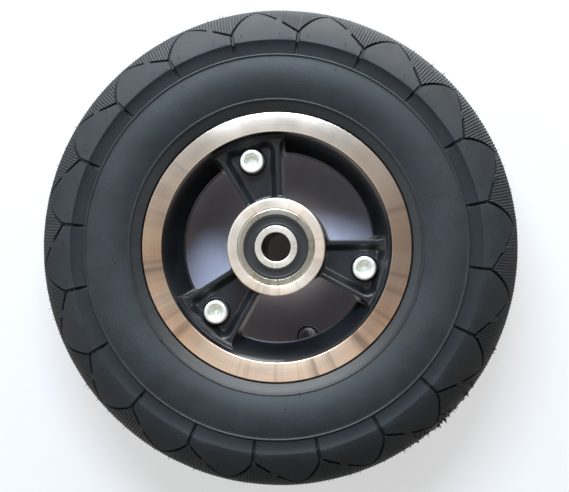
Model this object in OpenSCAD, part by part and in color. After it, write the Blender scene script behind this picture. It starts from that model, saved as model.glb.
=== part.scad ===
// Pneumatic scooter wheel: tyre and tube on a bolted two-piece cast rim with sealed ball bearings.
// The axle lies along Y with the front face towards -Y, Z is up, and the origin is the wheel's centre.

/* [Tyre] */
// outside diameter of the inflated tyre
tyre_d = 200; // [198:1:204]
// radius of the rounded tread in section
tread_r = 25.5; // [24.5:0.5:26]
// radius of the edge between tread and side band, beyond the middle of the section
shoulder_out = 10.5; // [9.5:0.5:11.5]
// radius of the thin raised circle on the sidewall, beyond the middle of the section
line_out = 4.5; // [3.5:0.5:5.5]
// half width of the tyre at that circle
line_h = 22.4; // [22:0.1:22.8]
// distance of the raised line beside the rim from the flange
bead_line_gap = 5; // [4.2:0.1:5.6]
// half width of the tyre at that line
bead_line_h = 21.3; // [20.8:0.1:21.8]
// how far the sidewall bulges past a straight line
side_bulge = 2.2; // [1.4:0.1:2.6]
// radius of the two thin raised lines
ridge_r = 0.45; // [0.3:0.05:0.6]
// rubber thickness at the crown
crown_t = 5.8; // [5.4:0.1:6.6]
// rubber thickness at the raised circle
side_t = 2.6; // [2.4:0.1:3.2]
// rubber thickness over the rim's bead seat
bead_t = 3.6; // [3:0.1:4.2]

/* [Tread] */
// tread blocks on each side
blocks = 20; // [18:1:22]
// angle of the first groove from +X, seen from the front
tread_phase = 11.9; // [0:0.1:18]
// width of the tread grooves
groove_w = 1.2; // [0.9:0.1:1.5]
// depth of the tread grooves
groove_depth = 1.5; // [1:0.1:2]
// radius at which a side groove ends on the tread, beyond the middle of the section
fork_out = 14.5; // [14:0.1:15.5]
// distance of the arch grooves' tops from the middle of the tread, along its surface
arch_peak = 9.6; // [8.6:0.1:10.6]
// share of a block's length at which an arch is highest
arch_rise = 0.38; // [0.35:0.01:0.41]
// share of that rise at which the groove turns over
arch_bend = 0.45; // [0.38:0.01:0.52]
// middle of the bridge over the arch's long leg, as a share of a block's length
bridge_at = 0.7; // [0.66:0.01:0.76]
// length of that bridge, as a share of a block's length
bridge_w = 0.09; // [0.06:0.01:0.12]

/* [Tube] */
// wall thickness of the inner tube
tube_t = 1.6; // [1.2:0.1:2]
// gap between tube and tyre
tube_gap = 0.25; // [0.15:0.05:0.35]

/* [Rim] */
// diameter of the tyre bead seat
seat_d = 100; // [99:0.2:100.6]
// height of the rim flange over the bead seat
flange_rise = 5.8; // [5.4:0.1:6]
// thickness of the rim flange
flange_t = 3; // [2.5:0.1:3.4]
// width across the two turned lips
rim_w = 36; // [35:0.5:36.4]
// wall between the bead seat and the inside of the turned lip
lip_step = 2.3; // [1.8:0.1:3]
// depth of the rim well below the bead seat
well_drop = 5; // [4.8:0.1:5.5]
// half width of the well floor
well_h = 5.5; // [5:0.1:6]
// wall between the rim well and the spoke windows
window_step = 5; // [4.5:0.1:6]
// half width of the rim at the spoke windows
ridge_h = 2.5; // [2:0.1:3]
// hollow of the bowl between lip and windows
bowl_sag = 1.2; // [0.8:0.1:1.4]
// broken edge on the flange
flange_edge = 0.5; // [0.3:0.1:0.8]
// clearance between bead and rim
bead_fit = 0.15; // [0.1:0.05:0.3]
// gap between flange edge and tyre
flange_gap = 0.5; // [0.3:0.1:0.8]

/* [Spokes] */
// number of spokes
spokes = 3; // [3:1:4]
// angle of the first spoke from +X, seen from the front
spoke_ang = -13.5; // [-30:0.5:30]
// width of a spoke where it meets the hub
spoke_hub_w = 15.8; // [14:0.2:17]
// angle between a spoke's edge and its centre line
spoke_splay = 14.5; // [10:0.5:16]
// height of the spoke ribs above the split plane
land_h = 12; // [11.5:0.1:12.5]
// height of the pocket floor above the split plane
floor_h = 8.5; // [8:0.1:9]
// thickness of the ribs along a spoke
rib_t = 2; // [1.6:0.1:2.5]
// radius of the pocket's outer corners
pocket_r = 4.5; // [3.5:0.5:5]
// how far the pocket runs past the windows
pocket_reach = 4; // [3:0.1:4.2]
// fillet between spoke and bowl
spoke_fillet = 4; // [3:0.5:4.5]

/* [Hub and bearings] */
// diameter of the hub boss
boss_d = 40.6; // [40:0.2:43]
// width across the hub faces
hub_w = 40; // [39:0.5:41]
// chamfer on the hub boss
boss_edge = 0.5; // [0.3:0.1:1.4]
// bore of the bearings, which takes the axle
axle_d = 12; // [12]
// outside diameter of the bearings
bearing_d = 32; // [32]
// width of one bearing
bearing_w = 10; // [10]
// outside diameter of the inner ring
inner_ring_d = 17.6; // [17.4:0.1:18]
// inside diameter of the outer ring
outer_ring_bore = 26.9; // [26.5:0.1:27.2]
// diameter of the balls
ball_d = 5.953; // [5.953]
// diameter of the circle the ball centres lie on
ball_pcd = 22; // [22]
// balls in each bearing
balls = 7; // [6:1:7]
// clearance between ball and raceway
ball_fit = 0.03; // [0.02:0.01:0.05]
// clearance between ball and cage pocket
cage_fit = 0.1; // [0.06:0.02:0.16]
// clearance between seal lip and inner ring
lip_fit = 0.08; // [0.05:0.01:0.1]
// clearance of pressed seats
press_fit = 0.02; // [0.01:0.01:0.03]
// thickness of a bearing seal
seal_t = 1.1; // [0.9:0.1:1.2]
// how far a seal lies below the bearing face
seal_sink = 0.4; // [0.3:0.05:0.5]
// outside diameter of the spacer tube
spacer_d = 17; // [16:0.2:17.6]

/* [Bolts] */
// distance of the bolt circle inside the windows' edge
bolt_in = 2.8; // [2.5:0.1:3.5]
// thread diameter of the bolts
bolt_d = 6; // [6]
// length of the bolts under the head
bolt_l = 25; // [24:0.5:25]
// diameter of the bolt heads
head_d = 10; // [9.6:0.1:10.4]
// height of the bolt heads
head_h = 6; // [5:0.5:6]
// hexagon socket across flats
socket_af = 5; // [4.5:0.5:5]
// diameter of the spot face under a head
spot_d = 11; // [10.8:0.1:12]
// depth of the spot face
spot_depth = 1; // [0.5:0.1:1.5]
// clearance round a bolt shank
bolt_fit = 0.2; // [0.1:0.05:0.3]
// thread clearance in a nut
thread_fit = 0.05; // [0.03:0.01:0.08]
// nut across flats
nut_af = 10; // [10]
// nut height
nut_h = 5; // [4.8:0.1:5.2]
// washer outside diameter
washer_d = 12; // [11.5:0.1:12.5]
// washer thickness
washer_t = 1.6; // [1.2:0.1:1.6]

/* [Valve] */
// diameter of the valve stem
stem_d = 7.7; // [7.4:0.1:7.9]
// distance of the stem's straight end inside the windows' edge
stem_in = 0.3; // [-0.2:0.1:0.7]
// radius of the stem's bend
bend_r = 5; // [4.8:0.1:5.4]
// depth behind the split plane where the stem meets the well
entry_h = 6.5; // [6.4:0.1:6.8]
// length of the slanting part of the stem
foot_l = 10.5; // [10:0.1:11]
// distance of the stem's tip behind the split plane
tip_h = 22.6; // [22.2:0.1:22.8]
// clearance of the stem in the rim
stem_fit = 0.4; // [0.3:0.05:0.45]
// bond line between stem and tube
bond = 0.05; // [0.03:0.01:0.08]
// diameter of the air passage
air_d = 2.4; // [2:0.1:2.6]
// outside diameter of the core barrel
core_d = 4.9; // [4.7:0.1:5]
// length of the core barrel
core_l = 5; // [4.8:0.1:5.2]
// diameter of the valve pin
pin_d = 1.8; // [1.6:0.1:2]
// clearance round core, pin and cap
valve_fit = 0.06; // [0.04:0.01:0.1]
// travel of the valve pin
pin_travel = 1.2; // [1:0.1:1.4]
// thickness of the plate on the pin's inner end
plate_t = 0.8; // [0.6:0.1:0.9]
// outside diameter of the valve cap
cap_d = 9.5; // [9.2:0.1:9.8]
// length of the valve cap
cap_l = 8; // [7:0.1:8.2]
// thickness of the cap's end
cap_t = 1; // [0.8:0.1:1.1]

/* [Hidden] */
$fn = 96;
tyre_r = tyre_d / 2;
tread_c = tyre_r - tread_r;
shoulder_r = tread_c + shoulder_out;
shoulder_h = sqrt(pow(tread_r, 2) - pow(shoulder_r - tread_c, 2));
line_r = tread_c + line_out;
side_h = line_h - 0.4;
seat_r = seat_d / 2;
seat_h = well_h + well_drop * 0.86;
flange_r = seat_r + flange_rise;
lip_h = rim_w / 2;
lip_r = seat_r - lip_step;
flange_in = lip_h - flange_t;
well_r = seat_r - well_drop;
window_r = well_r - window_step;
bead_line_r = flange_r + bead_line_gap;
cavity_r = min(line_h - side_t, (tyre_r - crown_t - seat_r - bead_t) / 2);
cavity_c = tyre_r - crown_t - cavity_r;
bead_r = seat_r + bead_fit;
bead_h = flange_in - bead_fit;
toe_h = seat_h - 0.8;
notch_r = flange_r + flange_gap;
notch_h = lip_h + 0.3;
hub_h = hub_w / 2;
boss_r = boss_d / 2;
bearing_h = hub_h - bearing_w / 2;
shoulder_bore = outer_ring_bore / 2 + 0.1;
ball_r = ball_d / 2;
pitch_r = ball_pcd / 2;
groove_r = ball_r * 1.04;
inner_groove_c = pitch_r - ball_r - ball_fit + groove_r;
outer_groove_c = pitch_r + ball_r + ball_fit - groove_r;
fork_lap = 0.6;
fork_r = tread_c + fork_out + fork_lap;
half_block = 180 / blocks;
groove_a = groove_w / shoulder_r * 180 / PI;
fork_h = sqrt(pow(tread_r, 2) - pow(fork_r - tread_c, 2));
fork_reach = tread_r * acos(fork_out / tread_r) * PI / 180;
rise_power = 1.4;
fall_power = 1.2;
arch_end = 0.98;
arch_cuts = [[0, arch_bend * arch_rise], [arch_bend * arch_rise, arch_rise],
    [arch_rise, bridge_at - bridge_w / 2], [bridge_at + bridge_w / 2, arch_end]];
arch_lap = 0.2;
splay_n = [-sin(spoke_splay), cos(spoke_splay)];
splay_t = [cos(spoke_splay), sin(spoke_splay)];
splay_c = splay_n * [boss_r, spoke_hub_w / 2];
bowl = [for (u = [0, 1 / 3, 2 / 3, 1]) bowl_point(u)];
bowl_at_land = lookup(land_h, [for (p = bowl) [p.y, p.x]]);
head_seat = floor_h - spot_depth;
pocket_end = window_r + pocket_reach;
bolt_r = window_r - bolt_in;
stem_r = window_r - stem_in;
valve_ang = spoke_ang - 180 / spokes;
bend_h = well_r + entry_h - stem_r + bend_r * (sqrt(2) - 1);
core_top = tip_h - 0.6;
chamber_h = core_top - core_l - valve_fit - plate_t - pin_travel - 0.3;

// centre of the circle through a and b that bulges by sag to the left of the way from a to b
function arc_centre(a, b, sag) =
    let (half = norm(b - a) / 2, left = [a.y - b.y, b.x - a.x] / (2 * half))
    (a + b) / 2 + left * (sag - (half * half + sag * sag) / (2 * sag));

// place along the hollow between lip and windows, from 0 at the lip to 1
function bowl_point(u) =
    let (a = [lip_r, lip_h], b = [window_r, ridge_h], side = [a.y - b.y, b.x - a.x] / norm(b - a))
    a + (b - a) * u + side * 4 * bowl_sag * u * (1 - u);

// distance of an arch groove from the middle of the tread, a share s of a block past the fork:
// it rises less and less up to the top, then falls almost evenly to the next fork
function arch_reach(s) = s < arch_rise
    ? arch_peak + (fork_reach - arch_peak) * pow(1 - s / arch_rise, rise_power)
    : fork_reach - (fork_reach - arch_peak) * pow((1 - s) / (1 - arch_rise), fall_power);

// direction out of the tread at that share and distance, and the point on its surface
function tread_out(s, reach) =
    let (t = reach / tread_r * 180 / PI, a = tread_phase - s * 360 / blocks)
    [cos(t) * cos(a), cos(t) * sin(a), sin(t)];
function tread_point(s, reach) =
    let (a = tread_phase - s * 360 / blocks)
    tread_c * [cos(a), sin(a), 0] + tread_r * tread_out(s, reach);

// half width of a spoke at distance x from the axle
function spoke_half(x) = (splay_c - splay_n.x * x) / splay_n.y;

// everything is drawn with the axle along z and the named side towards +z
module front() rotate([90, 0, 0]) children();
module rear() rotate([90, 0, 0]) mirror([0, 0, 1]) children();
module each_spoke() for (k = [0 : spokes - 1]) rotate([0, 0, spoke_ang + k * 360 / spokes]) children();
module at_bolts() each_spoke() translate([bolt_r, 0, 0]) children();

// tyre
module tyre_side() {
    wall_c = arc_centre([bead_line_r, bead_line_h], [line_r, side_h], side_bulge);
    intersection() {
        translate([tread_c, 0]) circle(tread_r);
        translate([shoulder_r, -1]) square(2 * tread_r);
    }
    polygon([[shoulder_r + 2, -1], [shoulder_r + 2, shoulder_h - 4], [shoulder_r, shoulder_h],
        [line_r, line_h], [line_r, side_h], [bead_line_r, bead_line_h], [notch_r, notch_h], [notch_r, -1]]);
    intersection() {
        translate(wall_c) circle(norm(wall_c - [line_r, side_h]));
        polygon([[bead_line_r, bead_line_h - 1], [line_r, side_h - 1], [line_r, line_h + 5],
            [bead_line_r, line_h + 5]]);
    }
    translate([line_r, line_h]) circle(ridge_r);
    translate([bead_line_r, bead_line_h]) circle(ridge_r);
    translate([bead_r, toe_h - 1]) square([notch_r + 1 - bead_r, bead_h - toe_h + 1]);
}

module air_section(gap) polygon([[well_r + gap, gap - well_h], [well_r + gap, well_h - gap],
    [seat_r, toe_h - gap], [cavity_c, toe_h - gap], [cavity_c, gap - toe_h], [seat_r, gap - toe_h]]);

module air_space(gap) union() {
    rotate_extrude() translate([cavity_c, 0]) circle(cavity_r - gap);
    rotate_extrude() air_section(gap);
}

// grooves across the side band, cut from the raised circle up to the tread
module side_grooves() for (k = [0 : blocks - 1]) rotate([0, 0, tread_phase - groove_a / 2 + k * 360 / blocks])
    rotate_extrude(angle = groove_a) polygon([
        [line_r + 2 * ridge_r, line_h - groove_depth], [shoulder_r, shoulder_h - groove_depth],
        [fork_r, fork_h - groove_depth], [fork_r, tread_r + 1], [line_r + 2 * ridge_r, tread_r + 1]]);

// one straight stretch of an arch groove, from share s to share e of a block; its floor follows the tread
module arch_cut(s, e) {
    a = tread_point(s, arch_reach(s));
    b = tread_point(e, arch_reach(e));
    reach = (arch_reach(s) + arch_reach(e)) / 2;
    mid = (a + b) / 2;
    half = norm(b - a) / 2;
    along = (b - a) / (2 * half);
    out = tread_out((s + e) / 2, reach);
    lean = out - along * (out * along);
    up = lean / norm(lean);
    across = cross(up, along);
    sag = (tread_point((s + e) / 2, reach) - mid) * up;
    floor_r = (half * half + sag * sag) / (2 * sag) - groove_depth;
    multmatrix([for (i = [0 : 2]) [along[i], across[i], up[i], mid[i]]]) difference() {
        translate([-half - arch_lap, -groove_w / 2, sag - 2 * groove_depth])
            cube([2 * (half + arch_lap), groove_w, 4 * groove_depth]);
        translate([0, 0, sag - groove_depth - floor_r]) rotate([90, 0, 0])
            cylinder(r = floor_r, h = 2 * groove_w, center = true);
    }
}

module arches() for (k = [0 : blocks - 1]) rotate([0, 0, k * 360 / blocks])
    for (cut = arch_cuts) arch_cut(cut[0], cut[1]);

module tyre() color([0.13, 0.13, 0.13]) front() difference() {
    rotate_extrude() union() {
        tyre_side();
        mirror([0, 1]) tyre_side();
    }
    air_space(0);
    side_grooves();
    arches();
    rotate([0, 0, half_block]) mirror([0, 0, 1]) {
        side_grooves();
        arches();
    }
}

module inner_tube() color([0.2, 0.2, 0.2]) rear() difference() {
    air_space(tube_gap);
    air_space(tube_gap + tube_t);
    stem_foot(stem_d / 2 + bond, 1);
}

// valve, drawn behind the split plane
module stem_foot(r, more) rotate([0, 0, valve_ang])
    translate([stem_r + bend_r * (1 - cos(45)), 0, bend_h - bend_r * sin(45)])
    rotate([0, 135, 0]) translate([0, 0, -0.5]) cylinder(r = r, h = foot_l + 0.5 + more);

module stem_path(r, top) union() {
    stem_foot(r - 0.05, 0);
    rotate([0, 0, valve_ang]) {
        translate([stem_r + bend_r, 0, bend_h]) rotate([90, 180, 0]) rotate_extrude(angle = 45)
            translate([bend_r, 0]) circle(r);
        translate([stem_r, 0, bend_h]) cylinder(r = r, h = top - bend_h);
    }
}

module at_stem(h) rotate([0, 0, valve_ang]) translate([stem_r, 0, h]) children();

module valve_stem() color([0.16, 0.16, 0.17]) rear() difference() {
    stem_path(stem_d / 2, tip_h);
    stem_path(air_d / 2, tip_h + 1);
    at_stem(chamber_h) cylinder(r = core_d / 2 + valve_fit, h = tip_h);
}

module valve_core() color([0.75, 0.62, 0.3]) rear() difference() {
    at_stem(core_top - core_l) cylinder(d = core_d, h = core_l);
    at_stem(core_top - core_l - 1) cylinder(r = pin_d / 2 + valve_fit, h = core_l + 2);
}

module valve_pin() color([0.7, 0.7, 0.7]) rear() union() {
    at_stem(core_top - core_l - valve_fit - plate_t) cylinder(d = core_d * 0.8, h = plate_t);
    at_stem(core_top - core_l - valve_fit - plate_t / 2) cylinder(d = pin_d, h = core_l + 0.5 + plate_t / 2);
}

module valve_cap() color([0.1, 0.1, 0.1]) rear() at_stem(tip_h + cap_t + 0.4 - cap_l) difference() {
    rotate_extrude() polygon([[0, 0], [cap_d / 2 - 0.4, 0], [cap_d / 2, 0.4], [cap_d / 2, cap_l - 0.8],
        [cap_d / 2 - 0.8, cap_l], [0, cap_l]]);
    translate([0, 0, -1]) cylinder(r = stem_d / 2 + valve_fit, h = cap_l - cap_t + 1);
}

// rim
module drum() rotate_extrude() polygon(concat(bowl, [[window_r, 0], [well_r, 0], [well_r, well_h],
    [seat_r, seat_h], [seat_r, flange_in], [flange_r - flange_edge, flange_in],
    [flange_r, flange_in + flange_edge], [flange_r, lip_h - flange_edge], [flange_r - flange_edge, lip_h]]));

// outline of one spoke with fillets into a ring of radius ring
module spoke_outline(ring) {
    end = ring + 4;
    start = boss_r - 3;
    polygon([[start, -spoke_half(start)], [start, spoke_half(start)], [end, spoke_half(end)],
        [end, -spoke_half(end)]]);
    off = splay_c + spoke_fillet;
    centre = off * splay_n + sqrt(pow(ring - spoke_fillet, 2) - off * off) * splay_t;
    for (m = [0, 1]) mirror([0, m]) difference() {
        polygon([centre, centre * (end / (ring - spoke_fillet)), [end, spoke_half(end) - 1],
            centre - (spoke_fillet + 1) * splay_n]);
        translate(centre) circle(spoke_fillet);
    }
}

module pocket_outline() {
    edge = splay_c - rib_t;
    start = boss_r - 2;
    cx = pocket_end - pocket_r;
    cy = (edge - pocket_r - splay_n.x * cx) / splay_n.y;
    wide = (edge - splay_n.x * pocket_end) / splay_n.y;
    near = (edge - splay_n.x * start) / splay_n.y;
    difference() {
        polygon([[start, -near], [start, near], [pocket_end, wide], [pocket_end, -wide]]);
        for (m = [0, 1]) mirror([0, m]) difference() {
            polygon([[cx, cy], [cx, cy] + (pocket_r + 2) * splay_n, [pocket_end + 2, wide + 4],
                [pocket_end + 2, cy]]);
            translate([cx, cy]) circle(pocket_r);
        }
    }
}

module web() difference() {
    intersection() {
        union() {
            each_spoke() linear_extrude(land_h / 2) spoke_outline(window_r + 0.2);
            each_spoke() linear_extrude(land_h) spoke_outline(bowl_at_land + 0.3);
        }
        rotate_extrude() polygon([[0, 0], [well_r - 0.6, 0], [well_r - 0.6, well_h + 0.2],
            [seat_r - 0.8, seat_h + 0.2], [seat_r - 0.8, land_h], [0, land_h]]);
    }
    each_spoke() translate([0, 0, floor_h]) linear_extrude(land_h) pocket_outline();
}

module boss() rotate_extrude() polygon([[0, 0], [boss_r, 0], [boss_r, hub_h - boss_edge],
    [boss_r - boss_edge, hub_h], [0, hub_h]]);

module rim_half(spot) difference() {
    union() {
        drum();
        web();
        boss();
    }
    translate([0, 0, -1]) cylinder(r = shoulder_bore, h = hub_h);
    translate([0, 0, hub_h - bearing_w]) cylinder(r = bearing_d / 2 + press_fit, h = hub_h);
    at_bolts() translate([0, 0, -1]) cylinder(r = bolt_d / 2 + bolt_fit, h = hub_h);
    if (spot > 0) at_bolts() translate([0, 0, floor_h - spot]) cylinder(d = spot_d, h = hub_h);
}

module front_rim_half() color([0.08, 0.08, 0.09]) front() rim_half(spot_depth);

module rear_rim_half() color([0.08, 0.08, 0.09]) rear() difference() {
    rim_half(0);
    stem_foot(stem_d / 2 + stem_fit, 0);
    rotate([0, 0, valve_ang]) translate([stem_r + bend_r * (1 - cos(45)), 0, bend_h - bend_r * sin(45)])
        rotate([0, -45, 0]) translate([0, 0, -1]) cylinder(r = stem_d / 2 + stem_fit, h = 4);
}

// bolts, washers and nuts
module rim_bolts() color([0.8, 0.8, 0.82]) front() at_bolts() difference() {
    union() {
        translate([0, 0, head_seat]) rotate_extrude() polygon([[0, 0], [head_d / 2, 0],
            [head_d / 2, head_h - 0.5], [head_d / 2 - 0.5, head_h], [0, head_h]]);
        translate([0, 0, head_seat - bolt_l]) rotate_extrude() polygon([[0, 0], [bolt_d / 2 - 0.6, 0],
            [bolt_d / 2, 0.6], [bolt_d / 2, bolt_l + 1], [0, bolt_l + 1]]);
    }
    translate([0, 0, head_seat + head_h - 3]) cylinder(d = socket_af / cos(30), h = 4, $fn = 6);
}

module rim_washers() color([0.75, 0.75, 0.77]) rear() at_bolts() translate([0, 0, floor_h]) difference() {
    cylinder(d = washer_d, h = washer_t);
    translate([0, 0, -1]) cylinder(r = bolt_d / 2 + bolt_fit, h = washer_t + 2);
}

module nut() difference() {
    intersection() {
        cylinder(d = nut_af / cos(30), h = nut_h, $fn = 6);
        rotate_extrude() polygon([[0, 0], [nut_af / 2, 0], [nut_af / 2 + 0.8, 0.46],
            [nut_af / 2 + 0.8, nut_h - 0.46], [nut_af / 2, nut_h], [0, nut_h]]);
    }
    translate([0, 0, -1]) cylinder(r = bolt_d / 2 + thread_fit, h = nut_h + 2);
}

module rim_nuts() color([0.75, 0.75, 0.77]) rear() at_bolts() translate([0, 0, floor_h + washer_t]) nut();

// bearings, drawn about the middle of the bearing
module at_bearing() translate([0, 0, bearing_h]) children();

module outer_race() rotate_extrude() difference() {
    polygon([[outer_ring_bore / 2, -bearing_w / 2], [bearing_d / 2 - 0.6, -bearing_w / 2],
        [bearing_d / 2, 0.6 - bearing_w / 2], [bearing_d / 2, bearing_w / 2 - 0.6],
        [bearing_d / 2 - 0.6, bearing_w / 2], [outer_ring_bore / 2, bearing_w / 2]]);
    translate([outer_groove_c, 0]) circle(groove_r);
}

module inner_race() rotate_extrude() difference() {
    polygon([[axle_d / 2 + 0.5, -bearing_w / 2], [inner_ring_d / 2, -bearing_w / 2],
        [inner_ring_d / 2, bearing_w / 2], [axle_d / 2 + 0.5, bearing_w / 2],
        [axle_d / 2, bearing_w / 2 - 0.5], [axle_d / 2, 0.5 - bearing_w / 2]]);
    translate([inner_groove_c, 0]) circle(groove_r);
}

module ball_ring(r) for (k = [0 : balls - 1]) rotate([0, 0, k * 360 / balls])
    translate([pitch_r, 0, 0]) sphere(r);

module cage() difference() {
    translate([0, 0, -ball_r]) difference() {
        cylinder(r = pitch_r + 1.5, h = ball_r + 1);
        translate([0, 0, -1]) cylinder(r = pitch_r - 1.1, h = bearing_w);
    }
    ball_ring(ball_r + cage_fit);
}

module seal() translate([0, 0, bearing_w / 2 - seal_sink - seal_t]) difference() {
    cylinder(r = outer_ring_bore / 2 - press_fit, h = seal_t);
    translate([0, 0, -1]) cylinder(r = inner_ring_d / 2 + lip_fit, h = seal_t + 2);
}

module front_outer_race() color([0.72, 0.7, 0.66]) front() at_bearing() outer_race();
module front_inner_race() color([0.72, 0.7, 0.66]) front() at_bearing() inner_race();
module front_balls() color([0.85, 0.85, 0.85]) front() at_bearing() ball_ring(ball_r);
module front_cage() color([0.5, 0.42, 0.25]) front() at_bearing() cage();
module front_outer_seal() color([0.2, 0.2, 0.2]) front() at_bearing() seal();
module front_inner_seal() color([0.2, 0.2, 0.2]) front() at_bearing() mirror([0, 0, 1]) seal();
module rear_outer_race() color([0.72, 0.7, 0.66]) rear() at_bearing() outer_race();
module rear_inner_race() color([0.72, 0.7, 0.66]) rear() at_bearing() inner_race();
module rear_balls() color([0.85, 0.85, 0.85]) rear() at_bearing() ball_ring(ball_r);
module rear_cage() color([0.5, 0.42, 0.25]) rear() at_bearing() cage();
module rear_outer_seal() color([0.2, 0.2, 0.2]) rear() at_bearing() seal();
module rear_inner_seal() color([0.2, 0.2, 0.2]) rear() at_bearing() mirror([0, 0, 1]) seal();

module bearing_spacer() color([0.7, 0.7, 0.72]) front() translate([0, 0, bearing_w - hub_h]) difference() {
    cylinder(d = spacer_d, h = hub_w - 2 * bearing_w);
    translate([0, 0, -1]) cylinder(d = axle_d, h = hub_w);
}

tyre();
inner_tube();
valve_stem();
valve_core();
valve_pin();
valve_cap();
front_rim_half();
rear_rim_half();
rim_bolts();
rim_washers();
rim_nuts();
bearing_spacer();
front_outer_race();
front_inner_race();
front_balls();
front_cage();
front_outer_seal();
front_inner_seal();
rear_outer_race();
rear_inner_race();
rear_balls();
rear_cage();
rear_outer_seal();
rear_inner_seal();
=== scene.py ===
import bmesh
import bpy
import numpy as np
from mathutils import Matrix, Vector


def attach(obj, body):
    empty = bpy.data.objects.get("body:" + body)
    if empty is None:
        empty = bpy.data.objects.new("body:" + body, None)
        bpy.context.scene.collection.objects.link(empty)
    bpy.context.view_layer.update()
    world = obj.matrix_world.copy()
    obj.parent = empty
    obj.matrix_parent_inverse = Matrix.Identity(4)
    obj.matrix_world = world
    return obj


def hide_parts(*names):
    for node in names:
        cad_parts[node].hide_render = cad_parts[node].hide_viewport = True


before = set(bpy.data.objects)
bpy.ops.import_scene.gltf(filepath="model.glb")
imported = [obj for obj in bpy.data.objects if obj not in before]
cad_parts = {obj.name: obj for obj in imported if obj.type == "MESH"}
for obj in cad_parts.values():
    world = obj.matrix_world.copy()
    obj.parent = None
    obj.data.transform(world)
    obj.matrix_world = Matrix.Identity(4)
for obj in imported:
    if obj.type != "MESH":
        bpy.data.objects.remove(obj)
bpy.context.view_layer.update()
print("frame loaded:", len(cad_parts), "solids' nodes")

# the wheel's lengths are millimetres, which buildPiece turns into metres; the studio's are metres
mm = 0.001
weldGap = 3e-7  # metres
samePoint = 1e-4  # millimetres
tau = 2 * np.pi
join = np.concatenate
rng = np.random.default_rng(11)


# a place on the wheel: radius times cosine across, height towards the front, radius times sine up
def onWheel(r, h, a):
    r, h, a = np.broadcast_arrays(r, h, a)
    return np.stack([r * np.cos(a), -h, r * np.sin(a)], axis=-1)


# equal steps round a full turn
def around(count):
    return np.arange(count) * tau / count


# angles in radians between two that are given in degrees
def arc(low, high, count):
    return np.radians(np.linspace(low, high, count))


# a list as rows of one column each
def column(values):
    return np.asarray(values, float)[:, None]


# values for each copy, shaped to spread over its rows and columns
def perCopy(*values):
    return [value[:, None, None] for value in values]


# the same points turned round the axle, one copy for each angle
def turned(points, angles):
    a = np.asarray(angles, float).reshape((-1,) + (1,) * (points.ndim - 1))
    x, y, z = points[..., 0], points[..., 1], points[..., 2]
    return np.stack([x * np.cos(a) - z * np.sin(a), y + 0 * a, x * np.sin(a) + z * np.cos(a)], axis=-1)


# a grid of points as quads that join each point to its neighbours; signed volume turns the faces outwards
def gridShell(points, wrapRows=True, rowMats=0):
    rows, cols = points.shape[:2]
    index = np.arange(rows * cols).reshape(rows, cols)
    below = np.roll(index, -1, axis=0)
    quads = np.stack([index, below, np.roll(below, -1, axis=1), np.roll(index, -1, axis=1)], axis=-1)
    mats = np.broadcast_to(np.reshape(rowMats, (-1, 1)), (rows, cols))
    lastRow = rows if wrapRows else rows - 1
    quads = quads[:lastRow].reshape(-1, 4)
    mats = mats[:lastRow].reshape(-1)
    flat = points.reshape(-1, 3)
    a, b, c, d = (flat[quads[:, k]] for k in range(4))
    volume = (np.cross(a, b) * c).sum() + (np.cross(a, c) * d).sum()
    return flat, (quads if volume > 0 else quads[:, ::-1]), mats


# many copies of one small grid, points shaped (copies, rows, columns, 3)
def manyShells(points, wrapRows=False):
    flat, quads, mats = gridShell(points[0], wrapRows)
    starts = np.arange(len(points)) * len(flat)
    quads = (quads[None] + starts[:, None, None]).reshape(-1, 4)
    return points.reshape(-1, 3), quads, np.tile(mats, len(points))


# a shell mirrored to the other side of the split plane, its faces turned so that they still point outwards
def flipped(shell):
    points, quads, mats = shell
    return points * [1, -1, 1], quads[:, ::-1], mats


# a profile with rounded corners: each is a quadratic curve between points that lie a cut away on both sides
def rounded(corners, cuts, steps=4, closed=True):
    p = np.asarray(corners, float)
    cut = np.broadcast_to(np.asarray(cuts, float), len(p))[:, None]
    before, after = np.roll(p, 1, axis=0) - p, np.roll(p, -1, axis=0) - p
    a = p + before / np.linalg.norm(before, axis=1, keepdims=True) * cut
    b = p + after / np.linalg.norm(after, axis=1, keepdims=True) * cut
    t = np.linspace(0, 1, steps)[None, :, None]
    line = (1 - t) ** 2 * a[:, None] + 2 * t * (1 - t) * p[:, None] + t ** 2 * b[:, None]
    if not closed:
        line[0], line[-1] = p[0], p[-1]
    line = line.reshape(-1, 2)
    gap = np.linalg.norm(line - np.roll(line, 1, axis=0), axis=1)
    return line[gap > samePoint]


# part of a circle in a profile: its middle plus the size times cosine and sine
def onCircle(r, h, size, turn):
    return np.stack([r + size * np.cos(turn), h + size * np.sin(turn)], 1)


# a profile of radius and height spun round the axle
def lathe(profile, cols, rowMats=0):
    return gridShell(onWheel(profile[:, :1], profile[:, 1:], around(cols)[None]), rowMats=rowMats)


# zero below low, one above high, with level ends
def smoothStep(low, high, x):
    t = np.clip((x - low) / (high - low), 0, 1)
    return t * t * (3 - 2 * t)


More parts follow.
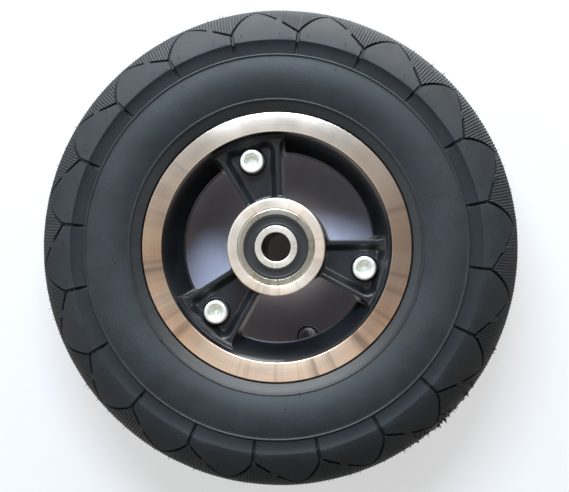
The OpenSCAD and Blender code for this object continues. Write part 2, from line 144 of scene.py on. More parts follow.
# the shells of one piece as a mesh in metres that rides on a body
def buildPiece(name, shells, materials, body, nodes=(), sharpAngle=40, weld=False):
    starts = np.cumsum([0] + [len(shell[0]) for shell in shells])
    points = join([shell[0] for shell in shells]) * mm
    quads = join([shell[1] + start for shell, start in zip(shells, starts)])
    mats = join([shell[2] for shell in shells]).astype(np.int32)
    mesh = bpy.data.meshes.new(name)
    mesh.from_pydata(points.tolist(), [], quads.tolist())
    mesh.polygons.foreach_set("material_index", mats)
    if weld:
        bm = bmesh.new()
        bm.from_mesh(mesh)
        bmesh.ops.remove_doubles(bm, verts=bm.verts, dist=weldGap)
        bm.to_mesh(mesh)
        bm.free()
    mesh.polygons.foreach_set("use_smooth", np.ones(len(mesh.polygons), bool))
    mesh.set_sharp_from_angle(angle=np.radians(sharpAngle))
    for finish in materials:
        mesh.materials.append(finish)
    mesh.update()
    piece = bpy.data.objects.new(name, mesh)
    bpy.context.collection.objects.link(piece)
    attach(piece, body)
    if nodes:
        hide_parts(*nodes)
    print("piece", name, len(mesh.polygons), "faces")


# colours are written as they look on screen, 0 to 255
def shade(r, g, b):
    c = np.array([r, g, b]) / 255
    c = np.where(c <= 0.04045, c / 12.92, ((c + 0.055) / 1.055) ** 2.4)
    return (*c.tolist(), 1.0)


# one shader node with its settings; an input is linked where a socket is given, and set where a value is
def place(tree, kind, inputs=None, **settings):
    node = tree.nodes.new("ShaderNode" + kind)
    for key, value in settings.items():
        setattr(node, key, value)
    for key, value in (inputs or {}).items():
        if isinstance(value, bpy.types.NodeSocket):
            tree.links.new(value, node.inputs[key])
        else:
            node.inputs[key].default_value = value
    return node


def sums(tree, kind, a, b=0.5, c=0.5):
    return place(tree, "Math", {0: a, 1: b, 2: c}, operation=kind).outputs[0]


def between(tree, factor, first, second):
    return place(tree, "Mix", {0: factor, 6: first, 7: second}, data_type="RGBA").outputs[2]


def spread(tree, value, low, high, toLow=0.0, toHigh=1.0):
    inputs = {"Value": value, "From Min": low, "From Max": high, "To Min": toLow, "To Max": toHigh}
    return place(tree, "MapRange", inputs).outputs[0]


def noise(tree, where, scale, detail):
    return place(tree, "TexNoise", {"Vector": where, "Scale": scale, "Detail": detail}).outputs[0]


# an empty node group that takes a place and numbers, and puts out one value
def newGroup(name, out, **starts):
    tree = bpy.data.node_groups.new(name, "ShaderNodeTree")
    tree.interface.new_socket("Vector", in_out="INPUT", socket_type="NodeSocketVector")
    for label, start in starts.items():
        socket = tree.interface.new_socket(label, in_out="INPUT", socket_type="NodeSocketFloat")
        socket.default_value = start
    tree.interface.new_socket(out, in_out="OUTPUT", socket_type="NodeSocketFloat")
    given = tree.nodes.new("NodeGroupInput")
    result = tree.nodes.new("NodeGroupOutput")
    return tree, [given.outputs[k] for k in range(1 + len(starts))], result.inputs[0]


# grain: fine and coarse noise added, then spread out to fill 0 to 1
def makeGrain():
    tree, (where, scale, contrast), result = newGroup("grain", "Mask", Scale=900.0, Contrast=1.0)
    fine = noise(tree, where, scale, 3.0)
    coarse = noise(tree, where, sums(tree, "MULTIPLY", scale, 0.21), 2.0)
    both = sums(tree, "ADD", sums(tree, "MULTIPLY", fine, 0.6), sums(tree, "MULTIPLY", coarse, 0.4))
    centred = sums(tree, "MULTIPLY", sums(tree, "SUBTRACT", both, 0.5), contrast)
    filled = sums(tree, "MULTIPLY_ADD", centred, 2.5, 0.5)
    tree.links.new(place(tree, "Clamp", {0: filled}).outputs[0], result)
    return tree


# lathe marks: noise along the radius alone, so it makes rings round the axle
def makeRings():
    tree, (where, pitch), result = newGroup("latheMarks", "Rings", Pitch=0.0004)
    xyz = place(tree, "SeparateXYZ", {0: where}).outputs
    xSquare, zSquare = (sums(tree, "POWER", sums(tree, "ABSOLUTE", xyz[k]), 2.0) for k in (0, 2))
    radius = sums(tree, "SQRT", sums(tree, "ADD", xSquare, zSquare))
    inputs = {"W": sums(tree, "DIVIDE", radius, pitch), "Scale": 1.0, "Detail": 2.0}
    rings = place(tree, "TexNoise", inputs, noise_dimensions="1D").outputs[0]
    tree.links.new(rings, result)
    return tree


# dust: wide patches of noise broken up by small specks
def makeDust():
    tree, ins, result = newGroup("dust", "Mask", Patch=30.0, Speck=900.0, Amount=0.3)
    where, patchScale, speckScale, amount = ins
    patch = spread(tree, noise(tree, where, patchScale, 4.0), 0.42, 0.72)
    speck = spread(tree, noise(tree, where, speckScale, 2.0), 0.35, 0.75)
    tree.links.new(sums(tree, "MULTIPLY", sums(tree, "MULTIPLY", patch, speck), amount), result)
    return tree


grainGroup, ringGroup, dustGroup = makeGrain(), makeRings(), makeDust()


def useGroup(tree, group, inputs):
    return place(tree, "Group", inputs, node_tree=group).outputs[0]


def grainMask(tree, where, scale, contrast):
    return useGroup(tree, grainGroup, {"Vector": where, "Scale": scale, "Contrast": contrast})


def dustMask(tree, where, patch, speck, amount):
    return useGroup(tree, dustGroup, {"Vector": where, "Patch": patch, "Speck": speck, "Amount": amount})


def newFinish(name):
    mat = bpy.data.materials.new(name)
    mat.use_nodes = True
    tree = mat.node_tree
    where = place(tree, "TexCoord").outputs["Object"]
    return mat, tree, tree.nodes["Principled BSDF"], where


# colour, roughness between two values by a mask, and bump are linked; plain numbers are set on the sockets
def setSurface(tree, shader, colour, mask, rough, height, bump, plain):
    strength, distance = bump
    relief = place(tree, "Bump", {"Height": height, "Strength": strength, "Distance": distance})
    tree.links.new(colour, shader.inputs["Base Color"])
    tree.links.new(spread(tree, mask, 0, 1, *rough), shader.inputs["Roughness"])
    tree.links.new(relief.outputs[0], shader.inputs["Normal"])
    for key, value in plain.items():
        shader.inputs[key].default_value = value


# rubber: dark grey that varies in soft patches, grain in the surface, a little pale dust
rubberLook = dict(
    patch=(160.0, 1.2), grainContrast=1.0, dustPatch=45.0, dustSpeck=1500.0, bump=(0.5, 0.00003))


def rubberFinish(name, dark, light, dustTone, dustAmount, rough, gloss, grainScale=2200.0):
    look = rubberLook
    mat, tree, shader, where = newFinish(name)
    patches = grainMask(tree, where, *look["patch"])
    fine = grainMask(tree, where, grainScale, look["grainContrast"])
    dust = dustMask(tree, where, look["dustPatch"], look["dustSpeck"], dustAmount)
    colour = between(tree, dust, between(tree, patches, shade(*dark), shade(*light)), shade(*dustTone))
    setSurface(tree, shader, colour, patches, rough, fine, look["bump"], {"Specular IOR Level": gloss})
    return mat


# turned metal: rings cut by the tool, stains, and streaks from middle to edge that follow the angle alone;
# the streaks are painted reflections of the room, and so are a paler upper half and a darker right side,
# where they are given
turnedLook = dict(
    stainContrast=1.6, wideContrast=1.7, thinContrast=1.5, thinTimes=4.3, bump=0.6, wide=(0.25, 0.75),
    thin=(0.6, 1.0, 0.0, 0.8), stain=(0.5, 1.0, 0.0, 0.45), upper=(0.0, 0.8), right=(0.55, 1.0),
    rings=(0.3, 0.7, 0.0, 0.2), paleTopReflectionTone=(234, 231, 222))


def turnedFinish(name, pale, warm, dull, rough, stretch, streaks=2.2, pitch=0.00035, patch=38.0,
                 bump=0.000012, darkRightReflection=0.0, paleTopReflection=0.0, seed=0.0):
    look = turnedLook
    mat, tree, shader, where = newFinish(name)
    rings = useGroup(tree, ringGroup, {"Vector": where, "Pitch": pitch})
    stain = grainMask(tree, where, patch, look["stainContrast"])
    xyz = place(tree, "SeparateXYZ", {0: where}).outputs
    outward = place(tree, "CombineXYZ", {0: xyz[0], 1: 0.0, 2: xyz[2]}).outputs[0]
    heading = place(tree, "VectorMath", {0: outward}, operation="NORMALIZE").outputs[0]
    moved = place(tree, "VectorMath", {0: heading, 1: (0.0, seed, 0.0)}, operation="ADD").outputs[0]
    side = place(tree, "SeparateXYZ", {0: heading}).outputs
    wide = grainMask(tree, moved, streaks, look["wideContrast"])
    thin = grainMask(tree, moved, streaks * look["thinTimes"], look["thinContrast"])
    # the thin streaks, the paler top and the darker right side are painted reflections; stains and lathe
    # rings are the metal's own
    layers = [(spread(tree, thin, *look["thin"]), dull),
              (spread(tree, stain, *look["stain"]), warm),
              (spread(tree, side[2], *look["upper"], 0.0, paleTopReflection), look["paleTopReflectionTone"]),
              (spread(tree, side[0], *look["right"], 0.0, darkRightReflection), dull),
              (spread(tree, rings, *look["rings"]), dull)]
    colour = between(tree, spread(tree, wide, *look["wide"]), shade(*pale), shade(*warm))
    for amount, tone in layers:
        colour = between(tree, amount, colour, shade(*tone))
    across = place(tree, "VectorTransform", {0: outward}, vector_type="VECTOR",
                   convert_from="OBJECT", convert_to="WORLD")
    tree.links.new(across.outputs[0], shader.inputs["Tangent"])
    setSurface(tree, shader, colour, stain, rough, rings, (look["bump"], bump),
               {"Metallic": 1.0, "Anisotropic": stretch})
    return mat


# plain metal: faint grain in colour and gloss
metalLook = dict(contrast=1.2, bump=(0.5, 0.00001))


def metalFinish(name, dark, light, rough, scale=700.0):
    mat, tree, shader, where = newFinish(name)
    fine = grainMask(tree, where, scale, metalLook["contrast"])
    colour = between(tree, fine, shade(*dark), shade(*light))
    setSurface(tree, shader, colour, fine, rough, fine, metalLook["bump"], {"Metallic": 1.0})
    return mat


# zinc plating: crystal cells that differ in tone
zincLook = dict(
    cells=1100.0, grain=(2600.0, 1.0), dark=(232, 236, 228), light=(246, 248, 242), rough=(0.4, 0.46),
    bump=(0.1, 0.00001))


def zincFinish():
    look = zincLook
    mat, tree, shader, where = newFinish("zincPlate")
    cells = place(tree, "TexVoronoi", {"Vector": where, "Scale": look["cells"]})
    tone = place(tree, "SeparateColor", {0: cells.outputs["Color"]}).outputs[0]
    fine = grainMask(tree, where, *look["grain"])
    colour = between(tree, tone, shade(*look["dark"]), shade(*look["light"]))
    setSurface(tree, shader, colour, tone, look["rough"], fine, look["bump"], {"Metallic": 1.0})
    return mat


# gloss paint over a casting: orange peel, a few dull patches, some dust
paintLook = dict(
    peel=(420.0, 1.0), patch=(90.0, 1.3), dust=(60.0, 2600.0, 0.12), dark=(14, 16, 19), light=(27, 29, 33),
    dustTone=(96, 96, 98), rough=(0.34, 0.48), bump=(0.35, 0.00004),
    plain={"Specular IOR Level": 0.3, "Coat Weight": 0.4, "Coat Roughness": 0.12})


def paintFinish():
    look = paintLook
    mat, tree, shader, where = newFinish("blackRimPaint")
    peel = grainMask(tree, where, *look["peel"])
    patch = grainMask(tree, where, *look["patch"])
    dust = dustMask(tree, where, *look["dust"])
    base = between(tree, patch, shade(*look["dark"]), shade(*look["light"]))
    colour = between(tree, dust, base, shade(*look["dustTone"]))
    setSurface(tree, shader, colour, patch, look["rough"], peel, look["bump"], look["plain"])
    return mat


tyreRubber = rubberFinish("tyreRubber", (39, 42, 44), (49, 53, 56), (87, 92, 95), 0.3, (0.5, 0.62), 0.3)
# the hollow band's rubber is darker and rougher than the rest of the tyre
bandRubber = rubberFinish("bandRubber", (32, 35, 37), (41, 45, 48), (79, 84, 87), 0.2, (0.6, 0.72), 0.2)
beadRubber = rubberFinish("beadRubber", (34, 37, 39), (43, 47, 49), (87, 92, 95), 0.15, (0.36, 0.46), 0.5)
tubeRubber = rubberFinish("tubeRubber", (30, 30, 31), (40, 40, 41), (90, 88, 84), 0.3, (0.6, 0.75), 0.3)
stemRubber = rubberFinish("stemRubber", (54, 53, 54), (66, 65, 66), (96, 96, 98), 0.2, (0.42, 0.55), 0.4)
sealRubber = rubberFinish("sealRubber", (30, 29, 29), (40, 39, 38), (80, 78, 74), 0.2, (0.42, 0.55), 0.4)
capPlastic = rubberFinish("capPlastic", (42, 42, 43), (54, 54, 55), (90, 90, 90), 0.15, (0.4, 0.52), 0.25,
                          1200.0)
# the lip's tones are painted reflections of the room: warm streaks, warmer below than at the paler top,
# darker to the right; its rings are lathe marks
lipMetal = turnedFinish("turnedLip", (241, 219, 196), (224, 184, 152), (134, 116, 106), (0.2, 0.34), 0.7,
                        darkRightReflection=0.55, paleTopReflection=0.75, seed=3.0)
bossMetal = turnedFinish("turnedBoss", (255, 247, 236), (250, 234, 214), (216, 203, 188), (0.28, 0.4), 0.3,
                         1.6, 0.0003, 120.0)
raceSteel = turnedFinish("raceSteel", (196, 194, 182), (186, 180, 163), (152, 148, 136), (0.2, 0.32), 0.3,
                         1.6, 0.0002, 160.0, 0.000006)
# the inner rings are the same steel as the outer rings, coloured paler: painted light
innerSteel = turnedFinish("innerSteel", (255, 253, 246), (248, 242, 230), (216, 210, 198), (0.26, 0.36), 0.3,
                          1.6, 0.0002, 160.0, 0.000006)
zincPlate = zincFinish()
rimPaint = paintFinish()
ballSteel = metalFinish("ballSteel", (205, 205, 208), (228, 228, 230), (0.06, 0.12))
cageSteel = metalFinish("cageSteel", (140, 124, 92), (176, 158, 118), (0.3, 0.45))
# dark steel for the inner rings' bores: painted shade down the bore
boreShadeSteel = metalFinish("boreShadeSteel", (84, 80, 75), (104, 100, 94), (0.45, 0.6), 500.0)
# the spacer is a dull alloy coloured dark grey: partly its own finish, partly painted shade down the bore
spacerAlloy = metalFinish("spacerAlloy", (92, 90, 86), (116, 113, 108), (0.5, 0.65), 400.0)
valveBrass = metalFinish("valveBrass", (178, 142, 72), (208, 174, 100), (0.2, 0.34))
pinSteel = metalFinish("pinSteel", (160, 160, 162), (196, 196, 198), (0.2, 0.32))
print("finishes ready")

# radius and height of the thin raised circle on the sidewall, where tread and casing meet
raisedLine = (79.0, 22.4)

# tyre tread: ribbed crown, arch grooves round the blocks, a hollow band from shoulder to raised circle
tread = dict(
    blocks=20, ribs=24, ribCols=4, ribWave=[0.0, 0.5, 1.0, 0.5], ribD=0.3, phase=11.9, middle=74.5,
    section=25.5, shoulder=85.0, grooveW=1.35, widest=2.6, grooveD=1.5, peak=9.6, foot=24.6, rise=0.38,
    upPower=1.4, downPower=1.2, blockL=26.0, sideHalf=0.36, sideSoft=0.3, bridge=(0.66, 0.74),
    bridgeSoft=0.012, above=[0.25, 0.5, 0.75, 1.0], within=[-0.7, 0.0, 0.7], below=[0.0, 0.3, 0.65, 0.985],
    bandAlong=[0.0, 0.05, 0.15, 0.3, 0.5, 0.78, 1.0], bandDeep=[1.0, 1.0, 1.0, 1.0, 0.95, 0.6, 0.0],
    bandPower=3.4, bandEnd=(0.5, -0.2), bandSunk=0.06, skin=3.4, inside=(79.5, 20.4), insideTurn=66)


# middle of the arch groove: a power of the way up from the fork, or of the way back down, the further out
def archLine(s):
    t = tread
    climb = t["foot"] - t["peak"]
    up = t["peak"] + climb * np.clip(1 - s / t["rise"], 0, 1) ** t["upPower"]
    down = t["foot"] - climb * ((1 - s) / (1 - t["rise"])) ** t["downPower"]
    return np.maximum(up, down)


# one side of the tread: rows at distances from the crown that follow the groove, sunk by rib or groove;
# the band's height falls with a power of the way along it
def treadSide(s, ribWave):
    t = tread
    edge = t["section"] * np.arccos((t["shoulder"] - t["middle"]) / t["section"])
    middle = archLine(s)
    pitch = tau * (t["middle"] + t["section"] * np.cos(middle / t["section"])) / t["blocks"]
    step = pitch / (t["ribs"] * t["ribCols"])
    slope = (np.roll(middle, -1) - np.roll(middle, 1)) / (2 * step)
    half = np.minimum(0.5 * t["grooveW"] * np.sqrt(1 + slope ** 2), t["widest"])
    offFork = np.minimum(s, 1 - s) * t["blockL"]
    side = np.clip(1 - (offFork - t["sideHalf"]) / t["sideSoft"], 0, 1)
    low, high = t["bridge"]
    soft = t["bridgeSoft"]
    unbridged = 1 - smoothStep(low - soft, low, s) * (1 - smoothStep(high, high + soft, s))
    up, down = middle - half, middle + half
    above, within, below = column(t["above"]), column(t["within"]), column(t["below"])
    reach = join([up * above, middle + half * within, down + (edge - down) * below])
    sink = join([ribWave * t["ribD"] + 0 * above, t["grooveD"] * unbridged + 0 * within,
                 t["grooveD"] * side + 0 * below])
    turn = reach / t["section"]
    r = t["middle"] + (t["section"] - sink) * np.cos(turn)
    h = (t["section"] - sink) * np.sin(turn)
    along = column(t["bandAlong"])
    deep = column(t["bandDeep"]) * side * t["grooveD"]
    topH = np.sqrt(t["section"] ** 2 - (t["shoulder"] - t["middle"]) ** 2)
    endR, endH = raisedLine[0] + t["bandEnd"][0], raisedLine[1] + t["bandEnd"][1]
    bandR = t["shoulder"] + (endR - t["shoulder"]) * along + 0 * s
    bandH = endH + (topH - endH) * (1 - along) ** t["bandPower"] - deep
    bandH[0] -= t["bandSunk"]
    return join([r, bandR]), join([h, bandH])


# tread: both sides, the rear one half a block on, joined over the ribbed crown and closed by an arc inside
def makeTread():
    t = tread
    perBlock = t["ribs"] * t["ribCols"]
    cols = t["blocks"] * perBlock
    j = np.arange(cols)
    a = np.radians(t["phase"]) - tau * j / cols
    wave = np.array(t["ribWave"])[j % t["ribCols"]]
    frontR, frontH = treadSide((j % perBlock) / perBlock, wave)
    rearR, rearH = treadSide(((j + perBlock // 2) % perBlock) / perBlock, wave)
    crown = t["middle"] + t["section"] - t["ribD"] * wave
    turn = column(arc(-t["insideTurn"], t["insideTurn"], 7))
    inner = t["section"] - t["skin"]
    endR, endH = t["inside"]
    inR = join([[[endR]], t["middle"] + inner * np.cos(turn), [[endR]]]) + 0 * j
    inH = join([[[-endH]], inner * np.sin(turn), [[endH]]]) + 0 * j
    r = join([frontR[::-1], crown[None], rearR, inR])
    h = join([frontH[::-1], 0 * crown[None], -rearH, inH])
    bandRows = len(t["bandAlong"]) - 1
    lastRear = 2 * len(frontR)
    band = np.zeros(len(r), int)
    band[:bandRows] = 1
    band[lastRear - bandRows + 1:lastRear + 1] = 1
    return gridShell(onWheel(r, h, a[None]), rowMats=band)


# tyre casing, from under the tread over the sidewall to the beads and the air space
casing = dict(
    under=(22.6, 62), shelf=(1.6, -1.2), ridge=0.45, side=22.0, bulge=2.2, wall=(0.035, 0.972, 26),
    beadLine=(60.8, 21.3), heel=[(60.4, 20.95), (58.4, 19.7)], notch=(56.3, 18.3), bead=(50.15, 14.85, 9.0),
    toeR=55.5, seatCuts=[0.1, 0.8, 0.35, 0.3, 0.8, 0.8, 0.3], air=(74.4, 19.8, 152), shinyH=17.5, cols=288)


# half section: under the tread, over the raised circle, a parabola for the sidewall, the bead line, the bead
# and the inside, then the same mirrored, spun round
def makeCasing():
    c = casing
    lineR, lineH = raisedLine
    underR, underTurn = c["under"]
    under = onCircle(tread["middle"], 0, underR, arc(0, underTurn, 8))
    shelf = [[lineR + c["shelf"][0], lineH + c["shelf"][1]]]
    ridge = onCircle(lineR, lineH, c["ridge"], arc(-10, 190, 9))
    a, b = np.array([lineR, c["side"]]), np.array(c["beadLine"])
    u = column(np.linspace(*c["wall"]))
    out = np.array([b[1] - a[1], a[0] - b[0]]) / np.linalg.norm(a - b)
    wall = a + (b - a) * u + out * 4 * c["bulge"] * u * (1 - u)
    bead = onCircle(*b, c["ridge"], arc(30, 215, 9))
    beadR, beadH, toe = c["bead"]
    corners = [(c["notch"][0], beadH), (beadR, beadH), (beadR, toe), (c["toeR"], toe)]
    seat = rounded([*c["heel"], c["notch"], *corners], c["seatCuts"], closed=False)
    airMid, airR, airTurn = c["air"]
    air = onCircle(airMid, 0, airR, arc(airTurn, 0, 26))
    half = join([under, shelf, ridge, wall, bead, seat, air])
    loop = join([half, half[::-1][1:-1] * [1, -1]])
    r, h = loop[:, 0], np.abs(loop[:, 1])
    shiny = (r < c["beadLine"][0] + 0.5) & (h > c["shinyH"])
    shiny |= np.hypot(r - lineR, h - lineH) < c["ridge"] + 0.01
    return lathe(loop, c["cols"], shiny.astype(int))


# rubber left by the mould: hairs and crumbs on the tread, short hairs and dots on the sides, bead line ticks
flash = dict(
    hairs=260, ragged=90, raggedAt=-47.0, raggedSpread=6.0, crownTurn=0.5, bend=0.5, length=(0.3, 1.7),
    room=(0.1, 3.0), margin=0.05, buried=0.6, rooted=0.5, thick=(0.12, 0.2), raggedThick=(0.25, 0.75),
    taper=0.85, hairSides=5, spots=[0.15, 0.72], spotTurn=1.03, spotLength=(1.2, 2.0), spotThick=(0.2, 0.3),
    dots=34, dotRings=[76.5, 66.5], dotSize=(0.3, 0.5), dotTall=(0.2, 0.4), dotSunk=0.06, footD=0.1,
    ticks=6, tickStart=39.3, tick=(60.9, 21.5, 0.4, 0.55, 2.2))


# a hair is a thin cone whose middle line leaves the surface and bends over by the square of the way along it
def hairs(r, h, a, outR, outH, bend, length, base):
    r, h, a, outR, outH, bend, length, base = perCopy(r, h, a, outR, outH, bend, length, base)
    sides = flash["hairSides"]
    u = np.linspace(0, 1, 4)[None, :, None]
    v = around(sides)[None, None]
    wide = base * (1 - flash["taper"] * u)
    go, lean = length * u, bend * u ** 2
    hairR = r + outR * go + wide * np.cos(v) * outH
    hairH = h + outH * go - wide * np.cos(v) * outR
    points = onWheel(hairR, hairH, a + (lean + wide * np.sin(v)) / hairR)
    tip = points[:, -1:].mean(axis=2, keepdims=True).repeat(sides, axis=2)
    foot = points[:, :1].mean(axis=2, keepdims=True).repeat(sides, axis=2)
    return manyShells(join([foot, points, tip], axis=1))


# small round lumps on the sidewall: half a ball, pressed to a height and stretched along the radius
def lumps(r, h, a, size, tall, stretch):
    r, h, a, size, tall = perCopy(r, h, a, size, tall)
    u = np.linspace(0, 1, 4)[None, :, None] * np.pi / 2
    v = around(8)[None, None]
    flat = size * np.cos(u)
    points = onWheel(r + flat * np.cos(v) * stretch, h + tall * np.sin(u), a + flat * np.sin(v) / r)
    foot = onWheel(r, h - flash["footD"], a) + 0 * points[:, :1]
    return manyShells(join([foot, points], axis=1))


# hairs all round the crown and crumbs along one stretch, kept within the square box round the tyre
def crownHairs():
    f, t = flash, tread
    n = f["hairs"] + f["ragged"]
    crownR = t["middle"] + t["section"]
    a = join([rng.uniform(0, tau, f["hairs"]),
              np.radians(rng.normal(f["raggedAt"], f["raggedSpread"], f["ragged"]))])
    turn = rng.uniform(-f["crownTurn"], f["crownTurn"], n)
    away = np.abs(((np.degrees(a) + 45) % 90) - 45)
    room = np.clip(crownR / np.cos(np.radians(away)) - (crownR + f["margin"]), *f["room"])
    length = np.minimum(rng.uniform(*f["length"], n), room) + f["rooted"]
    thick = join([rng.uniform(*f["thick"], f["hairs"]), rng.uniform(*f["raggedThick"], f["ragged"])])
    low = t["section"] - f["buried"]
    return hairs(t["middle"] + low * np.cos(turn), low * np.sin(turn), a, np.cos(turn), np.sin(turn),
                 rng.uniform(-f["bend"], f["bend"], n), length, thick)


# two short hairs on each block's shoulder, front and rear
def shoulderHairs():
    f, t = flash, tread
    blockA = tau / t["blocks"]
    blockTurn = np.radians(t["phase"]) - around(t["blocks"])
    spot = (blockTurn[:, None] - blockA * np.array(f["spots"])[None]).ravel()
    spot = join([spot, spot + blockA / 2])
    m = len(spot)
    front = np.repeat([1.0, -1.0], m // 2)
    lean = f["spotTurn"]
    low = t["section"] - f["buried"]
    return hairs(np.full(m, t["middle"] + low * np.cos(lean)), front * low * np.sin(lean), spot,
                 np.full(m, np.cos(lean)), front * np.sin(lean), rng.uniform(-f["bend"], f["bend"], m),
                 rng.uniform(*f["spotLength"], m), rng.uniform(*f["spotThick"], m))


# low dots sunk a little into both sidewalls, every second one at the rear
def sidewallDots():
    f, c = flash, casing
    k = f["dots"]
    beadR, beadH = c["beadLine"]
    r = rng.choice(f["dotRings"], k)
    u = (raisedLine[0] - r) / (raisedLine[0] - beadR)
    h = c["side"] + (beadH - c["side"]) * u + 4 * c["bulge"] * u * (1 - u) - f["dotSunk"]
    a = rng.uniform(0, tau, k)
    size = rng.uniform(*f["dotSize"], k)
    tall = rng.uniform(*f["dotTall"], k)
    front, rear = (lumps(r[s::2], h[s::2], a[s::2], size[s::2], tall[s::2], 1.0) for s in (0, 1))
    return [front, flipped(rear)]


# ticks across the front bead line
def beadTicks():
    n = flash["ticks"]
    r, h, size, tall, stretch = flash["tick"]
    a = np.radians(flash["tickStart"]) + around(n)
    return lumps(np.full(n, r), np.full(n, h), a, np.full(n, size), np.full(n, tall), stretch)


def makeFlash():
    return [crownHairs(), shoulderHairs(), *sidewallDots(), beadTicks()]


buildPiece("tyreTread", [makeTread()], [tyreRubber, bandRubber], "wheel", ["tyre"], sharpAngle=50)
buildPiece("tyreCasing", [makeCasing()], [tyreRubber, beadRubber], "wheel", ["tyre"], sharpAngle=60)
buildPiece("mouldFlash", makeFlash(), [tyreRubber], "wheel", sharpAngle=180, weld=True)
print("tyre done")

# rim halves: barrel, boss and three spokes; heights are from the split plane
rim = dict(
    window=40.0, rearWindow=39.55, well=(45.0, 5.5), seat=(50.0, 9.8), flange=(55.8, 15.0, 18.0), lip=47.7,
    bowl=(16.4, 23.9, 31.8), bowlH=(2.6, 17.55, 26), joint=2, leadCuts=[0.1, 0.4, 0.5, 0.1],
    lipCuts=[0.05, 0.28, 0.45, 0.5, 0.6, 1.0, 1.0, 0.1, 0.1], cols=256, bossR=20.3, hubH=20.0, bossEdge=0.5,
    bearingR=16.02, bearingW=10.0, bore=13.55, bossCuts=[0.1, 0.1, 0.2, 0.2, 0.25, 0.2, 0.2], bossCols=192)
spoke = dict(
    count=3, start=-13.5, reach=(17.2, 47.6), hubW=15.8, splay=14.5, bunch=0.45, land=12.0, floor=8.5,
    rib=1.5, corner=5.5, end=44.3, wall=3.6, boltR=37.2, spotR=5.5, spotIn=0.15, spotOut=0.35, spotD=1.0,
    neck=2.2, neckAt=20.9, flare=4.0, flareAt=45.9, root=4.2, rootGap=0.3, bowlFillet=2.0, bossFillet=1.6,
    highest=17, edge=0.5, draft=0.3, drop=[10.6, 9.6, 8.5, 7.4, 6.2, 5.0, 3.8, 2.6, 1.2, 0.0],
    endH=[0, 5, 8.5, 12], endR=[42.4, 43.3, 46.0, 47.6], endSoft=0.25, topShare=0.7, neckShare=0.8,
    sideShare=0.85, rows=112, cols=92)


# radius of the bowl at a height, part of a circle
def bowlRadius(h):
    midR, midH, big = rim["bowl"]
    return midR + np.sqrt(big ** 2 - (h - midH) ** 2)


# barrel: the bowl, then a polygon with rounded corners for lip, flange, tyre seat and well, spun round
def makeBarrel(window):
    q = rim
    h = np.linspace(*q["bowlH"])
    bowl = np.stack([bowlRadius(h), h], 1)
    wellR, wellH = q["well"]
    seatR, seatH = q["seat"]
    flangeR, flangeIn, lipH = q["flange"]
    jointR = wellR - q["joint"]
    lead = rounded([(jointR, 0.0), (window, 0.0), tuple(bowl[0]), tuple(bowl[2])], q["leadCuts"],
                   closed=False)
    lip = rounded([tuple(bowl[-1]), (q["lip"], lipH), (flangeR, lipH), (flangeR, flangeIn), (seatR, flangeIn),
                   (seatR, seatH), (wellR, wellH), (wellR, 0.0), (jointR, 0.0)], q["lipCuts"], closed=False)
    profile = join([lead[1:-1], bowl[2:], lip[1:]])
    r, h = profile.T
    bare = (h > lipH - 0.3) & (r > q["lip"] - 0.02) & (r < flangeR + 0.1)
    return lathe(profile, q["cols"], bare.astype(int))


# boss: a tube stepped for the bearing, its outer edge cut at a slant, spun round
def makeBoss():
    q = rim
    top, r, edge = q["hubH"], q["bossR"], q["bossEdge"]
    floor = top - q["bearingW"]
    profile = rounded([(q["bore"], 0.0), (r, 0.0), (r, top - edge), (r - edge, top), (q["bearingR"], top),
                       (q["bearingR"], floor), (q["bore"], floor)], q["bossCuts"], steps=5)
    bare = (profile[:, 1] > top - edge) & (profile[:, 0] > q["bearingR"] - 0.05)
    return lathe(profile, q["bossCols"], bare.astype(int) * 2)


# fillet of unit radius: part of a circle up to the share given, then straight on at the same slope to a
# little past the radius, so that it meets a wall cleanly
def cove(t, share):
    t = np.clip(t, 0, 1.3)
    curve = 1 - np.sqrt(1 - np.minimum(t, share) ** 2)
    return curve + share / np.sqrt(1 - share ** 2) * np.maximum(t - share, 0)


# the angles at which the spokes and their bolts stand
def spokeAngles():
    return np.radians(spoke["start"]) + around(spoke["count"])


# height of a spoke's top: a level land less a pocket with round corners and a spot face under the bolt, plus
# fillets at bowl and boss, its edges rounded by part of a circle
def spokeTop(x, y, plain, wide, spot):
    p = spoke
    splay = np.radians(p["splay"])
    within = np.abs(y) - (plain - p["rib"] / np.cos(splay) - p["corner"])
    beyond = x - (p["end"] - p["corner"])
    away = np.hypot(np.maximum(within * np.cos(splay), 0), np.maximum(beyond, 0))
    away = away + np.minimum(np.maximum(within, beyond), 0)
    top = p["land"] - (p["land"] - p["floor"]) * smoothStep(0, p["wall"], p["corner"] - away)
    offBolt = np.hypot(x - p["boltR"], y)
    top = top - spot * (1 - smoothStep(p["spotR"] - p["spotIn"], p["spotR"] + p["spotOut"], offBolt))
    r = np.hypot(x, y)
    toBowl = bowlRadius(np.minimum(top, p["highest"])) - r
    toBoss = r - rim["bossR"]
    top = top + p["bowlFillet"] * cove(1 - toBowl / p["bowlFillet"], p["topShare"])
    top = top + p["bossFillet"] * cove(1 - toBoss / p["bossFillet"], p["topShare"])
    toEdge = np.clip(p["edge"] - (wide - np.abs(y)), 0, p["edge"])
    return top - p["edge"] + np.sqrt(p["edge"] ** 2 - toEdge ** 2)


